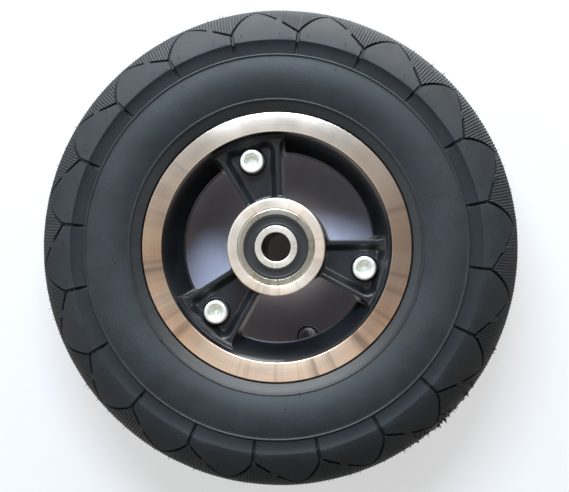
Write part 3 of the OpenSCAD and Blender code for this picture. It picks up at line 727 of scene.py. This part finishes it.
# spoke: the top's height over the place along and across it, and sides that fall to the split plane, wider
# by the draft and fillets at boss and bowl; its far end is drawn in to a radius that depends on the height
def makeSpoke(spot):
    p = spoke
    x = column(np.linspace(*p["reach"], p["rows"]))
    even = np.linspace(-1, 1, p["cols"])[None]
    u = p["bunch"] * np.sin(even * np.pi / 2) + (1 - p["bunch"]) * even
    plain = p["hubW"] / 2 + np.tan(np.radians(p["splay"])) * (x - rim["bossR"])
    plainR = np.hypot(x, plain)
    necked = plain + p["neck"] * cove((p["neckAt"] - x) / p["neck"], p["neckShare"])
    wide = necked + p["flare"] * cove((plainR - p["flareAt"]) / p["flare"] + 1, p["sideShare"])
    y = u * wide
    top = spokeTop(x, y, plain, wide, spot)
    drop = np.array(p["drop"])
    wallR = bowlRadius(np.maximum(drop, rim["bowlH"][0]))
    root = cove((plainR - wallR - p["rootGap"]) / p["root"] + 1, p["sideShare"])
    sideY = necked + p["draft"] * (1 - drop / p["land"]) + p["root"] * root
    right = np.stack([x + 0 * drop, sideY, drop + 0 * x], -1)
    left = right[:, ::-1] * [1, -1, 1]
    loop = join([np.stack([x + 0 * y, y, top], -1), right, left], axis=1)
    limit = np.interp(loop[..., 2], p["endH"], p["endR"])
    far = np.hypot(loop[..., 0], loop[..., 1])
    scale = (limit - p["endSoft"] * np.logaddexp(0, (limit - far) / p["endSoft"])) / far
    loop = loop * np.stack([scale, scale, np.ones_like(scale)], -1)
    cap = loop[[0, -1]].mean(axis=1, keepdims=True).repeat(loop.shape[1], axis=1)
    loop = join([cap[:1], loop, cap[1:]])
    points = np.stack([loop[..., 0], -loop[..., 2], loop[..., 1]], -1)
    return manyShells(turned(points, spokeAngles()))


rimFinishes = [rimPaint, lipMetal, bossMetal]
for side, window, spot in (("front", rim["window"], spoke["spotD"]), ("rear", rim["rearWindow"], 0.0)):
    castings = (("Barrel", makeBarrel(window), 45, False), ("Boss", makeBoss(), 45, False),
                ("Spokes", makeSpoke(spot), 50, True))
    for label, shell, sharpAngle, weld in castings:
        part = flipped(shell) if side == "rear" else shell
        node = side + "_rim_half"
        buildPiece(side + label, [part], rimFinishes, "wheel", [node], sharpAngle, weld)
print("rim done")

# bolts, washers, nuts; the bolt's rows are shares of the socket's hexagon, round radii added to them, and
# heights from the socket's floor, the head's top and the seat
bolt = dict(
    seat=7.5, headH=6.0, flats=5.0, socketD=3.0, shankR=3.0, length=25.0, pitch=1.0, cols=48,
    socket=[(0, 0, -0.55), (0, 0.55, -0.3), (0, 0.75, 0), (0.6, 0, 0), (0.97, 0, 0), (1, 0, 0.05)],
    head=[(1, 0, -0.55), (0.5, 1.525, -0.3), (0, 3.3, -0.06), (0, 3.42, 0), (0, 4.0, 0), (0, 4.35, -0.03),
          (0, 4.62, -0.14), (0, 4.84, -0.36), (0, 4.97, -0.66), (0, 5.0, -0.85)],
    under=[(0, 5.0, 0.25), (0, 4.85, 0.02), (0, 4.7, 0), (0, 3.0, 0), (0, 2.95, -0.3)], threadFrom=15.0,
    threadD=0.5, threadGap=0.05, threadEnd=0.5, fade=(0.4, 1.2), threadRows=80, tipR=2.3)
nut = dict(
    seat=8.5, washerR=6.0, washerBore=3.2, washerT=1.6, washerCut=0.25, flats=10.0, tall=5.0,
    chamfer=[0, 0.1, 0.22, 0.34, 0.46, 0.6], chamferIn=0.12, chamferSlope=1.74, bore=2.98, mouth=3.45,
    mouthD=0.45, cols=72)


# distance from a hexagon's middle to its side, over the angle
def hexR(flats, a):
    return flats / 2 / np.cos((a + np.pi / 6) % (np.pi / 3) - np.pi / 6)


# points round a bolt's own axis, by radius, height towards the front and angle, put at each bolt's place
def atBolts(radius, height, a):
    x, y = radius * np.cos(a), radius * np.sin(a)
    points = np.stack([x + spoke["boltR"], -height + 0 * x, y], -1)
    return turned(points, spokeAngles())


# bolt: rows of round or hexagonal outline from the socket's floor out over the head and down the thread,
# which is a ridge whose height goes round with the angle
def makeBolts():
    b = bolt
    a = around(b["cols"])[None]
    bottom, top = b["seat"], b["seat"] + b["headH"]
    end = bottom - b["length"]
    parts = ((top - b["socketD"], b["socket"]), (top, b["head"]), (bottom, b["under"]))
    rows = np.array([(share, plain, base + up) for base, part in parts for share, plain, up in part])
    head = rows[:, :1] * hexR(b["flats"], a) + rows[:, 1:2]
    z = column(np.linspace(bottom - b["threadFrom"], end + b["threadEnd"], b["threadRows"]))
    saw = np.abs(((z / b["pitch"] - a / tau) % 1.0) - 0.5) * 2
    fade = smoothStep(end + b["fade"][0], end + b["fade"][1], z)
    thread = b["shankR"] - b["threadGap"] - b["threadD"] * saw * (0.4 + 0.6 * fade)
    tip = column([b["tipR"], 0]) + 0 * a
    radius = join([head, thread, tip])
    height = join([rows[:, 2:], z, column([end, end])]) + 0 * a
    return manyShells(atBolts(radius, height, a))


# washer: a flat bar with rounded corners carried round the bolt
def makeWashers():
    n = nut
    h0, h1 = -n["seat"], -n["seat"] - n["washerT"]
    inner, outer = n["washerBore"], n["washerR"]
    profile = rounded([(inner, h0), (outer, h0), (outer, h1), (inner, h1)], n["washerCut"])
    a = around(bolt["cols"])[None]
    return manyShells(atBolts(profile[:, :1] + 0 * a, profile[:, 1:] + 0 * a, a), True)


# nut: a hexagon cut at both ends by a cone, so each row is the smaller of the two
def makeNuts():
    n = nut
    a = around(n["cols"])[None]
    tall, mouthD = n["tall"], n["mouthD"]
    chamfer = np.array(n["chamfer"])
    z = column(join([chamfer, tall - chamfer[::-1]]))
    cone = n["flats"] / 2 - n["chamferIn"] + np.minimum(z, tall - z) * n["chamferSlope"]
    outer = np.minimum(hexR(n["flats"], a) - 0.02, cone)
    mouth, bore = n["mouth"] + 0 * a, n["bore"] + 0 * a
    radius = join([mouth, outer, mouth, bore, bore])
    z = join([[[0.0]], z, column([tall, tall - mouthD, mouthD])]) + 0 * a
    return manyShells(atBolts(radius, -n["seat"] - n["washerT"] - z, a), True)


buildPiece("rimBolts", [makeBolts()], [zincPlate], "wheel", ["rim_bolts"], 32, True)
buildPiece("rimWashers", [makeWashers()], [zincPlate], "wheel", ["rim_washers"], 40)
buildPiece("rimNuts", [makeNuts()], [zincPlate], "wheel", ["rim_nuts"], 30)
print("fasteners done")

# bearings: rings and seals spun from rounded profiles; heights are from the wheel's middle
bearing = dict(
    face=20.0, width=10.0, outer=16.0, bore=6.0, inner=8.8, outerBore=13.45, ball=(11.0, 3.05),
    ballGap=0.02, grooveTurn=52, outerCut=0.7, innerCut=0.6, lipCut=0.15, seal=(0.4, 1.1),
    sealGap=(0.02, 0.08), sealOuter=[(0, -0.12), (-0.5, 0), (-1.0, 0), (-1.25, -0.22)],
    sealInner=[(1.15, -0.22), (0.9, -0.02), (0.3, -0.02), (0, -0.4)], outerCols=160, innerCols=128,
    sealCols=144)


# profile of a race: a bar with rounded corners, and the ball groove, part of a circle, in the given face
def raceProfile(face, back, ends, cut, turn, gap):
    b = bearing
    first, last = ends
    ballR, grooveR = b["ball"]
    middle = b["face"] - b["width"] / 2
    cuts = [b["lipCut"], cut, cut, b["lipCut"]]
    bar = rounded([(face, first), (back, first), (back, last), (face, last)], cuts, 6)
    groove = onCircle(ballR + gap, middle, grooveR, turn)
    sunk = (groove[:, 0] - face) * (back - face) > 0
    return join([bar, groove[sunk][::-1]])


def outerRing():
    b = bearing
    ends = (b["face"] - b["width"], b["face"])
    turn = arc(-b["grooveTurn"], b["grooveTurn"], 14)
    profile = raceProfile(b["outerBore"], b["outer"], ends, b["outerCut"], turn, -b["ballGap"])
    return lathe(profile, b["outerCols"])


# the inner ring's bore gets the second finish, a dark steel that is painted shade down the bore
def innerRing():
    b = bearing
    ends = (b["face"], b["face"] - b["width"])
    turn = arc(180 - b["grooveTurn"], 180 + b["grooveTurn"], 14)
    profile = raceProfile(b["inner"], b["bore"], ends, b["innerCut"], turn, b["ballGap"])
    return lathe(profile, b["innerCols"], (profile[:, 0] < b["bore"] + 0.04).astype(int))


# seal: a thin ring with a moulded step, a shallow channel and a raised lip by the inner ring
def sealRing():
    b = bearing
    top = b["face"] - b["seal"][0]
    low = top - b["seal"][1]
    out, lip = b["outerBore"] - b["sealGap"][0], b["inner"] + b["sealGap"][1]
    outerRows = [(out + r, top + h) for r, h in b["sealOuter"]]
    innerRows = [(lip + r, top + h) for r, h in b["sealInner"]]
    return lathe(rounded([(out, low), *outerRows, *innerRows, (lip, low)], 0.1, 3), b["sealCols"])


for side in ("front", "rear"):
    rings = (("outer_race", outerRing(), raceSteel, "wheel", "bearing_steel"),
             ("inner_race", innerRing(), innerSteel, "core", "bearing_steel"),
             ("outer_seal", sealRing(), sealRubber, "wheel", "seal"))
    for label, shell, finish, body, slotName in rings:
        part = flipped(shell) if side == "rear" else shell
        node = side + "_" + label
        buildPiece("look_" + node, [part], [finish, boreShadeSteel], body, [node], 35)
print("bearings done")

# valve: bent rubber stem and knurled cap behind the rim; heights are towards the rear
valve = dict(
    angle=-73.5, place=39.7, stemR=3.85, slant=45, bend=5.0, bendH=13.87, foot=(10.5, 0.6, 8), tip=22.6,
    tipEdge=0.5, endH=[14.6, 16.5, 16.8, 17.1, 19.0, 21.0], thinner=[0, 0, 0.1, 0.18, 0.18, 0.18, 0.2, 0.6],
    mouth=[2.6, 2.55], airR=1.2, capR=4.75, capL=8.0, capOver=1.4, capBore=3.95, ribs=24, ribCols=6,
    ribD=0.22)


# points by distance from the axle, height and distance sideways, turned to the valve's angle
def atValve(r, h, across):
    points = np.stack([r, h, across], -1)
    return gridShell(turned(points, [np.radians(valve["angle"])])[0])


# stem: circles carried along a slanting foot, a bend and a straight end, then back down the inside
def makeStem():
    v = valve
    turn = arc(v["slant"], 0, 12)
    bendX = v["place"] + v["bend"] * (1 - np.cos(turn))
    bendY = v["bendH"] - v["bend"] * np.sin(turn)
    s = np.linspace(*v["foot"])
    footX, footY = bendX[0] + s * np.sin(turn[0]), bendY[0] - s * np.cos(turn[0])
    endY = np.array([*v["endH"], v["tip"] - v["tipEdge"], v["tip"]])
    x = join([footX, bendX, v["place"] + 0 * endY])
    y = join([footY, bendY, endY])
    lean = join([turn[0] + 0 * s, turn, 0 * endY])
    thinner = join([0 * s, 0 * turn, v["thinner"]])
    x, y, lean = (column(join([w, w[-1:], w[-3:-2], w[:1]])) for w in (x, y, lean))
    size = column(join([v["stemR"] - thinner, v["mouth"], [v["airR"]]]))
    a = around(32)[None]
    return atValve(x + size * np.cos(a) * np.cos(lean), y + size * np.cos(a) * np.sin(lean), size * np.sin(a))


# cap: a cup with a domed end, its outside waved by the knurl; rows are radius, height and share of the knurl
def makeCap():
    v = valve
    r = v["capR"]
    top = v["tip"] + v["capOver"]
    low = top - v["capL"]
    a = around(v["ribs"] * v["ribCols"])[None]
    wave = v["ribD"] * (0.5 + 0.5 * np.cos(v["ribs"] * a))
    rows = np.array([(v["capBore"], low, 0), (4.3, low, 0), (r, low + 0.4, 0), (r, low + 1.3, 0),
                     (r, low + 1.5, 1), (r, top - 1.6, 1), (r - 0.15, top - 1.0, 0.6),
                     (r - 0.5, top - 0.45, 0.1), (r - 1.2, top - 0.12, 0), (2.2, top, 0), (0, top, 0),
                     (0, top - 1.0, 0), (3.2, top - 1.0, 0), (v["capBore"], top - 1.1, 0)])
    radius = rows[:, :1] - rows[:, 2:] * wave
    return atValve(v["place"] + radius * np.cos(a), rows[:, 1:2] + 0 * a, radius * np.sin(a))


buildPiece("valveStem", [makeStem()], [stemRubber], "wheel", ["valve_stem"], 40)
buildPiece("valveCap", [makeCap()], [capPlastic], "cap", ["valve_cap"], 45, True)
print("valve done")

# solids that keep their own shape get their finishes
kept = dict(inner_tube=tubeRubber, valve_core=valveBrass, valve_pin=pinSteel, bearing_spacer=spacerAlloy,
            front_balls=ballSteel, rear_balls=ballSteel, front_cage=cageSteel, rear_cage=cageSteel,
            front_inner_seal=sealRubber, rear_inner_seal=sealRubber)
for name, finish in kept.items():
    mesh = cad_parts[name].data
    mesh.materials.clear()
    mesh.materials.append(finish)
print("kept solids finished")

# studio: the wheel against a sheet of white paper, seen from almost straight in front
# shaded and dark are the painted-shade tones of the patches behind the windows and the bore
studio = dict(
    paperY=0.0272, paperHalf=3, paper=(250, 250, 251), lift=0.6, fibre=(300.0, 0.8), discY=0.0262,
    discR=0.056, discCols=60, shaded=(220, 218, 236), boreGap=0.0008, boreR=0.0066, dark=(118, 115, 120),
    cameraFar=0.8, cameraSide=3.87, cameraUp=-0.66, sensor=36.0, focal=1898.4, aim=(279.27, 247.56),
    picture=(569, 492), matt={"Roughness": 0.9, "Specular IOR Level": 0.1}, paler=3)


# one flat sheet of the stage; only a dense one shades the wheel and shows in other surfaces
def stageSheet(name, points, finish, dense=False):
    mesh = bpy.data.meshes.new(name)
    mesh.from_pydata(points, [], [tuple(range(len(points)))])
    mesh.materials.append(finish)
    sheet = bpy.data.objects.new(name, mesh)
    bpy.context.collection.objects.link(sheet)
    sheet.visible_shadow = dense
    sheet.visible_glossy = dense
    sheet.visible_diffuse = dense
    sheet.visible_transmission = False


# paper: matt, and by the lift given plain white to the camera; seen from behind it is clear
def paperFinish(name, colour, lift=0.0):
    mat, tree, shader, where = newFinish(name)
    fibre = grainMask(tree, where, *studio["fibre"])
    pale = tuple(min(255, c + studio["paler"]) for c in colour)
    tree.links.new(between(tree, fibre, shade(*colour), shade(*pale)), shader.inputs["Base Color"])
    for key, value in studio["matt"].items():
        shader.inputs[key].default_value = value
    look = shader.outputs[0]
    if lift:
        seen = sums(tree, "MULTIPLY", place(tree, "LightPath").outputs["Is Camera Ray"], lift)
        white = place(tree, "Emission", {"Strength": 1.0}).outputs[0]
        look = place(tree, "MixShader", {0: seen, 1: look, 2: white}).outputs[0]
    back = place(tree, "NewGeometry").outputs["Backfacing"]
    clear = place(tree, "BsdfTransparent").outputs[0]
    look = place(tree, "MixShader", {0: back, 1: look, 2: clear}).outputs[0]
    tree.links.new(look, tree.nodes["Material Output"].inputs[0])
    return mat


# one sheet behind the wheel, and round patches before it in darker tones: painted shade behind the windows
# and a painted shadow behind the bore
def makeStage():
    t = studio
    half, y = t["paperHalf"], t["paperY"]
    corners = [(-half, y, -half), (half, y, -half), (half, y, half), (-half, y, half)]
    stageSheet("paper", corners, paperFinish("whitePaper", t["paper"], t["lift"]))
    # the disc behind the windows is a darker, bluish grey than the paper: painted shade
    patches = (("paintedShadeDisc", t["discR"], t["discY"], t["shaded"], False),
               # the sheet behind the bore is darker still and blocks light: a painted shadow
               ("boreShadowSheet", t["boreR"], t["discY"] - t["boreGap"], t["dark"], True))
    for name, r, y, colour, dense in patches:
        disc = [(r * np.cos(a), y, r * np.sin(a)) for a in around(t["discCols"])]
        stageSheet(name, disc, paperFinish(name, colour), dense)


makeStage()

# world: white to the camera; reflections see a pale ceiling, brighter to the left and dim behind, and a warm
# band low down; soft light comes mostly from overhead, and a little from below
room = dict(
    ceiling=(0.15, 0.85, 0.44, 1.6), leftward=(-0.8, 0.8, 1.25, 0.75), behind=(0.0, 0.5, 1.0, 0.32),
    bandDown=0.34, bandSharp=3.8, bandLevel=0.8, bandTint=(1.0, 0.82, 0.68, 1.0),
    white=(1.0, 1.0, 1.0, 1.0), overhead=(0.45, 1.0, 0.03, 0.5), below=(-1.0, -0.35, 0.35, 0.0))


def makeWorld():
    world = bpy.data.worlds.new("studioWorld")
    bpy.context.scene.world = world
    world.use_nodes = True
    tree = world.node_tree
    path = place(tree, "LightPath").outputs
    where = place(tree, "TexCoord").outputs["Generated"]
    sky = place(tree, "SeparateXYZ", {0: where}).outputs
    ceiling = spread(tree, sky[2], *room["ceiling"])
    ceiling = sums(tree, "MULTIPLY", ceiling, spread(tree, sky[0], *room["leftward"]))
    ceiling = sums(tree, "MULTIPLY", ceiling, spread(tree, sky[1], *room["behind"]))
    offBand = sums(tree, "ABSOLUTE", sums(tree, "ADD", sky[2], room["bandDown"]))
    band = sums(tree, "SUBTRACT", 1.0, sums(tree, "MULTIPLY", offBand, room["bandSharp"]))
    band = sums(tree, "MULTIPLY", sums(tree, "MAXIMUM", band, 0.0), room["bandLevel"])
    mirrored = sums(tree, "ADD", ceiling, band)
    soft = sums(tree, "ADD", spread(tree, sky[2], *room["overhead"]), spread(tree, sky[2], *room["below"]))
    lit = sums(tree, "MULTIPLY_ADD", path["Is Glossy Ray"], sums(tree, "SUBTRACT", mirrored, soft), soft)
    seen = sums(tree, "MAXIMUM", path["Is Camera Ray"], path["Is Transmission Ray"])
    strength = sums(tree, "MULTIPLY_ADD", seen, sums(tree, "SUBTRACT", 1.0, lit), lit)
    tint = between(tree, band, room["white"], room["bandTint"])
    tint = between(tree, path["Is Glossy Ray"], room["white"], tint)
    tree.links.new(strength, tree.nodes["Background"].inputs["Strength"])
    tree.links.new(tint, tree.nodes["Background"].inputs["Color"])


makeWorld()

# lamps, all aimed at the wheel's middle
lamps = dict(frontSoftbox=dict(at=(-0.1, -0.98, 0.82), size=(0.8, 0.22), power=19.0, tint=(0.66, 0.82, 1.0)),
             overheadSoftbox=dict(at=(0, -0.34, 1.25), size=(2.2, 0.95), power=28.0, tint=(1.0, 0.98, 0.95)),
             leftFill=dict(at=(-1.2, -0.9, 0.3), size=(0.8, 0.8), power=2.5, tint=(0.7, 0.86, 1.0)),
             rearSoftbox=dict(at=(0.1, 0.45, 1.2), size=(0.9, 0.6), power=8.0, tint=(1.0, 1.0, 1.0)),
             rearFill=dict(at=(0.35, 1.15, 0.7), size=(1.0, 0.5), power=4.0, tint=(0.9, 0.95, 1.0)))


# an object at a place, turned so that it looks at the wheel's middle
def lookingIn(name, data, at):
    holder = bpy.data.objects.new(name, data)
    bpy.context.collection.objects.link(holder)
    holder.location = at
    holder.rotation_euler = (Vector((0, 0, 0)) - Vector(at)).to_track_quat("-Z", "Y").to_euler()
    return holder


def areaLight(name, at, size, power, tint):
    lamp = bpy.data.lights.new(name, "AREA")
    lamp.shape = "RECTANGLE"
    lamp.size, lamp.size_y = size
    lamp.energy = power
    lamp.color = tint
    lookingIn(name, lamp, at)


for name, lamp in lamps.items():
    areaLight(name, **lamp)


# camera: its focal length, and the point of the picture that shows the wheel's middle, are in pixels
def makeCamera():
    t = studio
    wide, tall = t["picture"]
    aimX, aimY = t["aim"]
    camera = bpy.data.cameras.new("camera")
    camera.sensor_width = t["sensor"]
    camera.lens = t["sensor"] * t["focal"] / wide
    camera.shift_x = (wide / 2 - aimX) / wide
    camera.shift_y = (aimY - tall / 2) / wide
    camera.clip_start = 0.01
    side, up = np.radians(t["cameraSide"]), np.radians(t["cameraUp"])
    at = Vector((np.sin(side) * np.cos(up), -np.cos(side) * np.cos(up), np.sin(up))) * t["cameraFar"]
    bpy.context.scene.camera = lookingIn("camera", camera, at)


makeCamera()
bpy.context.scene.view_settings.view_transform = "Standard"
print("studio ready")
